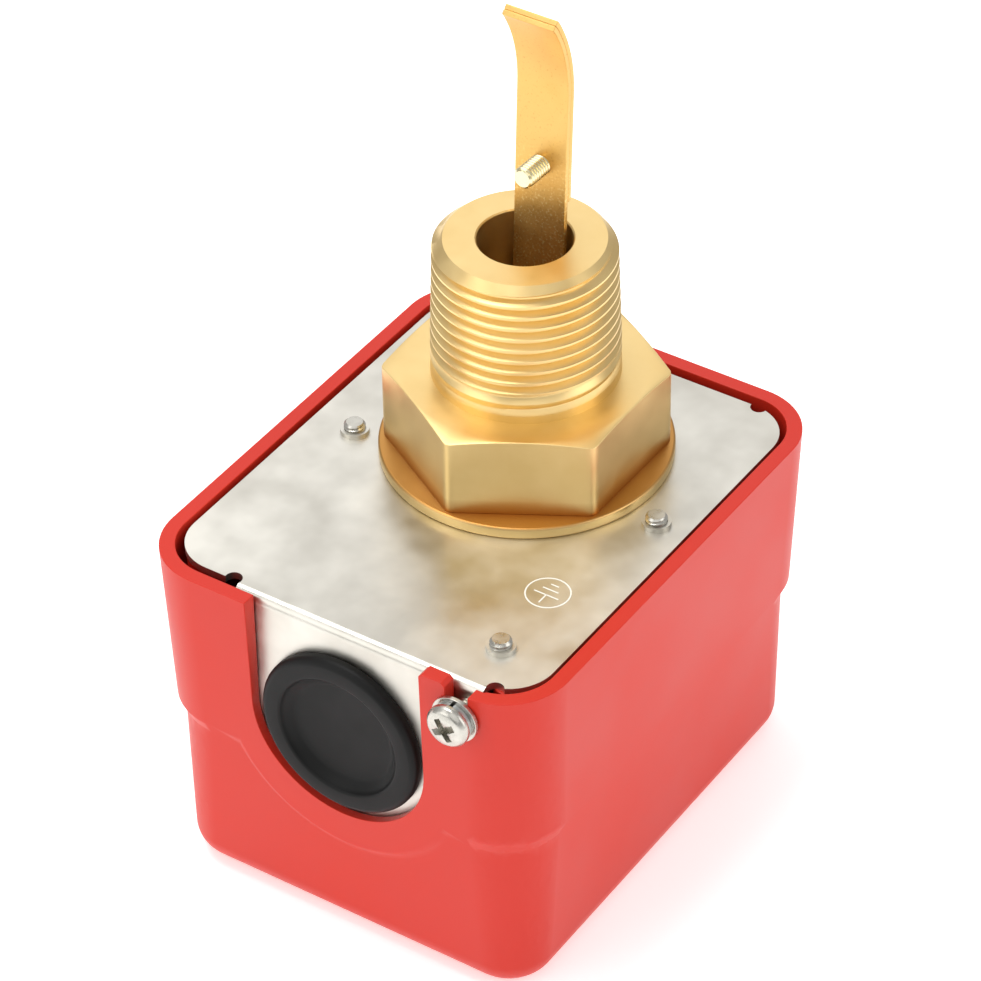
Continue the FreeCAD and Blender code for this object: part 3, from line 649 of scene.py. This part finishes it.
def makeEarthSign():
    # a ring, three bars and a stem, raised by less than a hair so that they catch the light
    size = earthSign
    half = size["line"] / 2
    low = fitting["flangeLow"] - size["rise"]
    high = fitting["flangeLow"] + size["rise"]
    stemEnd = size["bars"][0][0]
    bm = turned((
        (size["radius"] - half, low),
        (size["radius"] + half, low),
        (size["radius"] + half, high),
        (size["radius"] - half, high),
        (size["radius"] - half, low),
    ), size["steps"])
    for along, width in size["bars"]:
        etchedBar(bm, Vector((along - half, -width / 2, low)), Vector((along + half, width / 2, high)))
    etchedBar(bm, Vector((stemEnd - size["stem"], -half, low)), Vector((stemEnd, half, high)))
    moved(bm, Matrix.Translation(size["centre"]))
    newPiece("earthSign", bm, etching, "housing")


plug = {
    "entry": Vector((0, -1.3 * mm, 48.3 * mm)),
    "flange": 16.5 * mm,
    "thickness": 2.6 * mm,
    "rim": 0.9 * mm,
    "dish": 12.2 * mm,
    "dishEdge": 0.15 * mm,
    "shoulder": 0.7 * mm,
    "depth": 2.0 * mm,
    "slope": 1.9 * mm,
    "floor": 2.0 * mm,
    "rounding": 0.45 * mm,
    "hole": 12.75 * mm,
    "lip": 14.0 * mm,
    "lipThickness": 1.5 * mm,
    "skirt": 5.0 * mm,
    "skirtTaper": 1.5 * mm,
    "skirtWall": 2.0 * mm,
    "sheet": 1.5 * mm,
    "steps": 128,
}


def makePlug():
    size = plug
    behind = size["thickness"] + size["sheet"]
    skirtOuter = size["hole"] - size["skirtTaper"]
    skirtInner = skirtOuter - size["skirtWall"]
    back = size["depth"] + size["floor"]
    bm = turned((
        (0, size["depth"]),
        (size["dish"] - size["slope"], size["depth"]),
        (size["dish"] - size["dishEdge"], size["shoulder"]),
        (size["dish"] + size["dishEdge"], 0),
        (size["flange"] - size["rim"], 0),
        (size["flange"], size["rim"]),
        (size["flange"], size["thickness"]),
        (size["hole"], size["thickness"]),
        (size["hole"], behind),
        (size["lip"], behind),
        (size["lip"], behind + size["lipThickness"]),
        (skirtOuter, behind + size["skirt"]),
        (skirtInner, behind + size["skirt"]),
        (skirtInner, back),
        (0, back),
    ), size["steps"], size["rounding"], (1, 2, 3, 4, 5, 6))
    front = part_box("cable_plug")[0].x
    moved(bm, aimed(size["entry"] + xAxis * front, xAxis))
    newPiece("cablePlug", bm, rubber, "housing", ["cable_plug"])


makeCover()
makePlate()
makeEarthSign()
makePlug()
print("cover, plate and plug made")


m4Thread = {
    "pitch": 0.7 * mm,
    "depth": 0.38 * mm,
    "radius": 2.0 * mm,
    "steps": 48,
    "chamfer": 0.456 * mm,
}
panHead = {
    # share of the radius and of the height, from the middle of the crown to the seat
    "profile": ((0, 1), (0.55, 0.97), (0.85, 0.8), (1, 0.45), (1, 0), (0, 0)),
    "rounding": 0.12,
    "steps": 72,
}


def domedHead(radius, height, steps):
    # its top is at -height and its bearing face at zero
    profile = [(radius * across, -height * up) for across, up in panHead["profile"]]
    return turned(profile, steps, height * panHead["rounding"], (1, 2, 3, 4))


coverScrew = {
    "headRadius": 4.1 * mm,
    "headHeight": 2.4 * mm,
    "recess": 1.8 * mm,
    "reach": 3.4 * mm,
    "blade": 1.5 * mm,
    "innerReach": 0.45,  # share of the reach and of the blade at the recess's floor
    "innerBlade": 0.7,
    "turn": math.radians(58),
}


def crossRecess():
    # two tapered blades, crossed
    size = coverScrew
    bm = bmesh.new()
    for quarter in (0, 90):
        made = bmesh.ops.create_cube(bm, size=1)["verts"]
        bmesh.ops.scale(bm, vec=(2 * size["reach"], size["blade"], 2 * size["recess"]), verts=made)
        for v in made:
            if v.co.z > 0:
                v.co.x *= size["innerReach"]
                v.co.y *= size["innerBlade"]
        bmesh.ops.rotate(bm, verts=made, cent=origin, matrix=Matrix.Rotation(math.radians(quarter), 3, "Z"))
    return bm


def makeCoverScrew():
    size = coverScrew
    low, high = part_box("cover_screw")
    centre = (low + high) / 2
    seat = Vector((low.x + size["headHeight"], centre.y, centre.z))
    head = domedHead(size["headRadius"], size["headHeight"], panHead["steps"])
    piece = newPiece("coverScrewHead", moved(head, aimed(seat, xAxis)), screwZinc,
                     "housing", ["cover_screw"])
    cutter = bpy.data.objects.new("recessTool", bpy.data.meshes.new("recessTool"))
    bpy.context.scene.collection.objects.link(cutter)
    recess = crossRecess()
    turn = Matrix.Rotation(size["turn"], 4, "Z")
    moved(recess, aimed(seat - xAxis * size["headHeight"], xAxis) @ turn)
    recess.to_mesh(cutter.data)
    recess.free()
    carve(piece, cutter)
    shank = threadedRod(m4Thread, 0, high.x - seat.x)
    newPiece("coverScrewShank", moved(shank, aimed(seat, xAxis)), screwZinc, "housing")


washers = {
    "hole": 2.2 * mm,
    "flatRadius": 4.5 * mm,
    "flatThickness": 0.8 * mm,
    "flatSteps": 96,
    "flatEdge": 0.12 * mm,
    "springRadius": 3.7 * mm,
    "springThickness": 1.0 * mm,
    "springArc": math.radians(350),
    "springSteps": 70,
    "springTurn": math.radians(185),
    "springEdge": 0.1 * mm,
}


def makeWashers():
    size = washers
    low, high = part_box("cover_flat_washer")
    centre = (low + high) / 2
    flat = turned((
        (size["hole"], 0),
        (size["flatRadius"], 0),
        (size["flatRadius"], size["flatThickness"]),
        (size["hole"], size["flatThickness"]),
        (size["hole"], 0),
    ), size["flatSteps"])
    moved(flat, aimed(Vector((low.x, centre.y, centre.z)), xAxis))
    newPiece("flatWasher", flat, screwZinc, "housing", ["cover_flat_washer"],
             size["flatEdge"])
    # the spring washer's section is swept most of the way round and leaves its split open
    spring = bmesh.new()
    section = spring.faces.new([spring.verts.new((r, 0, z)) for r, z in (
        (size["hole"], 0),
        (size["springRadius"], 0),
        (size["springRadius"], size["springThickness"]),
        (size["hole"], size["springThickness"]),
    )])
    bmesh.ops.spin(spring, geom=[section], cent=origin, axis=zAxis,
                   angle=size["springArc"], steps=size["springSteps"])
    bmesh.ops.recalc_face_normals(spring, faces=spring.faces)
    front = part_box("cover_spring_washer")[0].x
    turn = Matrix.Rotation(size["springTurn"], 4, "Z")
    moved(spring, aimed(Vector((front, centre.y, centre.z)), xAxis) @ turn)
    newPiece("springWasher", spring, springSteel, "housing", ["cover_spring_washer"],
             size["springEdge"])


plateScrews = {
    "headRadius": 4.1 * mm,
    "headHeight": 2.4 * mm,
    "headSteps": 48,
    "framePlaces": ((-13.05 * mm, 28.83 * mm), (14.0 * mm, 28.83 * mm), (-6.55 * mm, -31.57 * mm)),
    "earthPlaces": ((-49.52 * mm, -26.76 * mm),),
}


def screwsFromBelow(node, name, places):
    # threaded shanks pointing up through the plate, with their heads beneath it
    size = plateScrews
    low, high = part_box(node)
    seat = low.z + size["headHeight"]
    whole = bmesh.new()
    for x, y in places:
        head = domedHead(size["headRadius"], size["headHeight"], size["headSteps"])
        shank = threadedRod(m4Thread, 0, high.z - seat)
        spot = Matrix.Translation((x, y, seat))
        joined(whole, moved(head, spot), moved(shank, spot))
    newPiece(name, whole, screwZinc, "housing", [node])


makeCoverScrew()
makeWashers()
screwsFromBelow("frame_screws", "frameScrews", plateScrews["framePlaces"])
screwsFromBelow("earth_screw", "earthScrew", plateScrews["earthPlaces"])
print("screws made")


paddle = {
    "lean": math.radians(3.0),
    "pivot": Vector((0, 0, 62.0 * mm)),
    "frontFace": 1.56 * mm,
    "layer": 1.0 * mm,
    "halfWidth": 5.25 * mm,
    "armFoot": 25.0 * mm,  # heights are above the pivot
    "bladeFoot": 61.0 * mm,
    "bendHeight": 82.5 * mm,
    "bend": {"run": 0, "radius": 26 * mm, "angle": math.radians(31), "steps": 12},
    "tip": {"run": 1.5 * mm, "radius": 6 * mm, "angle": math.radians(14), "steps": 3},
    "screwHeight": 67.5 * mm,
    "stub": 5.9 * mm,
    "headRadius": 3.6 * mm,
    "headHeight": 2.2 * mm,
    "edge": 0.18 * mm,
}


def carriedOn(bm, loop, move):
    # pulls the open end along by a straight move and returns the new end
    made = bmesh.ops.extrude_edge_only(bm, edges=loop)["geom"]
    bmesh.ops.translate(bm, vec=move, verts=cornersOf(made))
    return edgesOf(made)


def stripLayer(foot, inner, outer):
    # the strip's outline is drawn at its foot, pulled straight up, turned round both bends and closed
    size = paddle
    half = size["halfWidth"]
    face = size["frontFace"]
    bm = bmesh.new()
    outline = ((inner, -half), (outer, -half), (outer, half), (inner, half))
    corners = [bm.verts.new((face + x, y, foot)) for x, y in outline]
    end = [bm.edges.new((corners[i - 1], corners[i])) for i in range(4)]
    end = carriedOn(bm, end, zAxis * (size["bendHeight"] - foot))
    place = Vector((face, 0, size["bendHeight"]))
    heading = zAxis.copy()
    for part in (size["bend"], size["tip"]):
        if part["run"]:
            end = carriedOn(bm, end, heading * part["run"])
        place += heading * part["run"]
        centre = place - yAxis.cross(heading) * part["radius"]
        turn = Matrix.Rotation(-part["angle"], 3, "Y")
        spun = bmesh.ops.spin(bm, geom=end, cent=centre, axis=-yAxis,
                              angle=part["angle"], steps=part["steps"])
        end = edgesOf(spun["geom_last"])
        place = centre + turn @ (place - centre)
        heading = turn @ heading
    bmesh.ops.remove_doubles(bm, verts=bm.verts, dist=mergeGap)
    bmesh.ops.holes_fill(bm, edges=bm.edges, sides=4)
    bmesh.ops.recalc_face_normals(bm, faces=bm.faces)
    return moved(bm, Matrix.Translation(size["pivot"]) @ Matrix.Rotation(size["lean"], 4, "Y"))


def makePaddle():
    size = paddle
    thick = size["layer"]
    newPiece("paddleArm", stripLayer(size["armFoot"], 0, thick), stripBrass,
             "paddle_lever", ["paddle_arm"], size["edge"])
    newPiece("paddleBlade", stripLayer(size["bladeFoot"], thick, 2 * thick), stripBrass,
             "paddle_lever", ["paddle_blade"], size["edge"])


def makePaddleScrew():
    size = paddle
    tilt = Matrix.Rotation(size["lean"], 4, "Y")
    upright = Matrix.Translation((size["frontFace"] + 2 * size["layer"], 0, size["screwHeight"]))
    place = Matrix.Translation(size["pivot"]) @ tilt @ upright @ aimed(origin, -xAxis)
    head = domedHead(size["headRadius"], size["headHeight"], panHead["steps"])
    shank = threadedRod(m4Thread, 0, 2 * size["layer"] + size["stub"])
    screw = joined(moved(head, place), moved(shank, place))
    newPiece("paddleScrew", screw, stubZinc, "paddle_lever", ["paddle_screw"])


makePaddle()
makePaddleScrew()
print("paddle made")


inside = {
    "fitting_screws": screwZinc,
    "earth_washer": screwZinc,
    "pivot_pin": springSteel,
    "mechanism_frame": springSteel,
    "microswitch_case": phenolic,
    "microswitch_button": buttonNylon,
    "microswitch_terminals": stripBrass,
    "terminal_screws": screwZinc,
    "microswitch_screws": screwZinc,
    "range_screw": screwZinc,
    "range_nut": screwZinc,
    "range_spring": springSteel,
    "lever_stem": brass,
    "bellows": bronze,
}

for node, material in inside.items():
    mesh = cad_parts[node].data
    mesh.materials.clear()
    mesh.materials.append(material)
print("inside pieces finished")


# matt white paper: a faint glow keeps the floor as pale as the backdrop
studioPaper = {
    "shader": {"Roughness": 0.9, "Emission Color": (1, 1, 1, 1), "Emission Strength": 0.4},
    "tints": ("FFFFFF", "FDFDFD"),
    "clouds": 400 * mm,
    "cloudDetail": 2.0,
}
studio = {
    "floor": 2.4,
    "backdrop": (1, 1, 1, 1),
    "seenStrength": 1.0,
    "lightStrength": 0.50,
    "aim": Vector((-0.012, 0, 0.06)),
    "boxes": {
        # place, width, height and power of each soft box
        "leftBox": ((-0.85, 0.45, 0.60), 0.7, 0.9, 3.0),
        "rightBox": ((0.20, -0.95, 0.55), 0.7, 0.9, 3.0),
        "frontBox": ((-0.72, -0.48, 0.95), 0.9, 0.9, 1.7),
        "topBox": ((-0.05, 0.35, 1.25), 0.6, 0.6, 7.5),
        "backBox": ((0.70, 0.50, 0.80), 1.0, 0.8, 1.7),
    },
}


def makeFloor():
    bm = bmesh.new()
    bmesh.ops.create_grid(bm, x_segments=1, y_segments=1, size=studio["floor"] / 2)
    mesh = bpy.data.meshes.new("studioFloor")
    bm.to_mesh(mesh)
    bm.free()
    mesh.materials.append(unevenSurface("whitePaper", studioPaper))
    plane = bpy.data.objects.new("studioFloor", mesh)
    bpy.context.scene.collection.objects.link(plane)


def makeBackdrop():
    # it is seen white, while it lights the object more softly
    world = bpy.data.worlds.new("studioWorld")
    world.use_nodes = True
    tree = world.node_tree
    sky = tree.nodes["Background"]
    sky.inputs["Color"].default_value = studio["backdrop"]
    strength = addNode(tree, "ShaderNodeMapRange", {
        "Value": addNode(tree, "ShaderNodeLightPath").outputs["Is Camera Ray"],
        "To Min": studio["lightStrength"],
        "To Max": studio["seenStrength"],
    })
    tree.links.new(strength.outputs["Result"], sky.inputs["Strength"])
    bpy.context.scene.world = world


def softBox(name, place, width, height, power):
    light = bpy.data.lights.new(name, "AREA")
    light.shape = "RECTANGLE"
    light.size = width
    light.size_y = height
    light.energy = power
    lamp = bpy.data.objects.new(name, light)
    turn = (studio["aim"] - Vector(place)).to_track_quat("-Z", "Y")
    lamp.matrix_world = Matrix.Translation(place) @ turn.to_matrix().to_4x4()
    bpy.context.scene.collection.objects.link(lamp)


view = {
    "aim": Vector((-20.0, -5.32, 76.11)) * mm,
    "distance": 782.4 * mm,
    "azimuth": math.radians(-56.169),
    "elevation": math.radians(38.601),
    "roll": math.radians(-0.899),
    "lens": 162.31,
    "sensor": 36,
    "nearest": 0.01,
}


def makeCamera():
    size = view
    level = math.cos(size["elevation"])
    back = Vector((
        math.sin(size["azimuth"]) * level,
        -math.cos(size["azimuth"]) * level,
        math.sin(size["elevation"]),
    ))
    right = Matrix.Rotation(size["roll"], 3, back) @ zAxis.cross(back).normalized()
    turn = Matrix((right, back.cross(right), back)).transposed().to_4x4()
    camera = bpy.data.cameras.new("studioCamera")
    camera.lens = size["lens"]
    camera.sensor_width = size["sensor"]
    camera.clip_start = size["nearest"]
    holder = bpy.data.objects.new("studioCamera", camera)
    holder.matrix_world = Matrix.Translation(size["aim"] + back * size["distance"]) @ turn
    bpy.context.scene.collection.objects.link(holder)
    bpy.context.scene.camera = holder


makeFloor()
makeBackdrop()
for name, box in studio["boxes"].items():
    softBox(name, *box)
makeCamera()
bpy.context.scene.view_settings.view_transform = "Standard"
print("studio made")
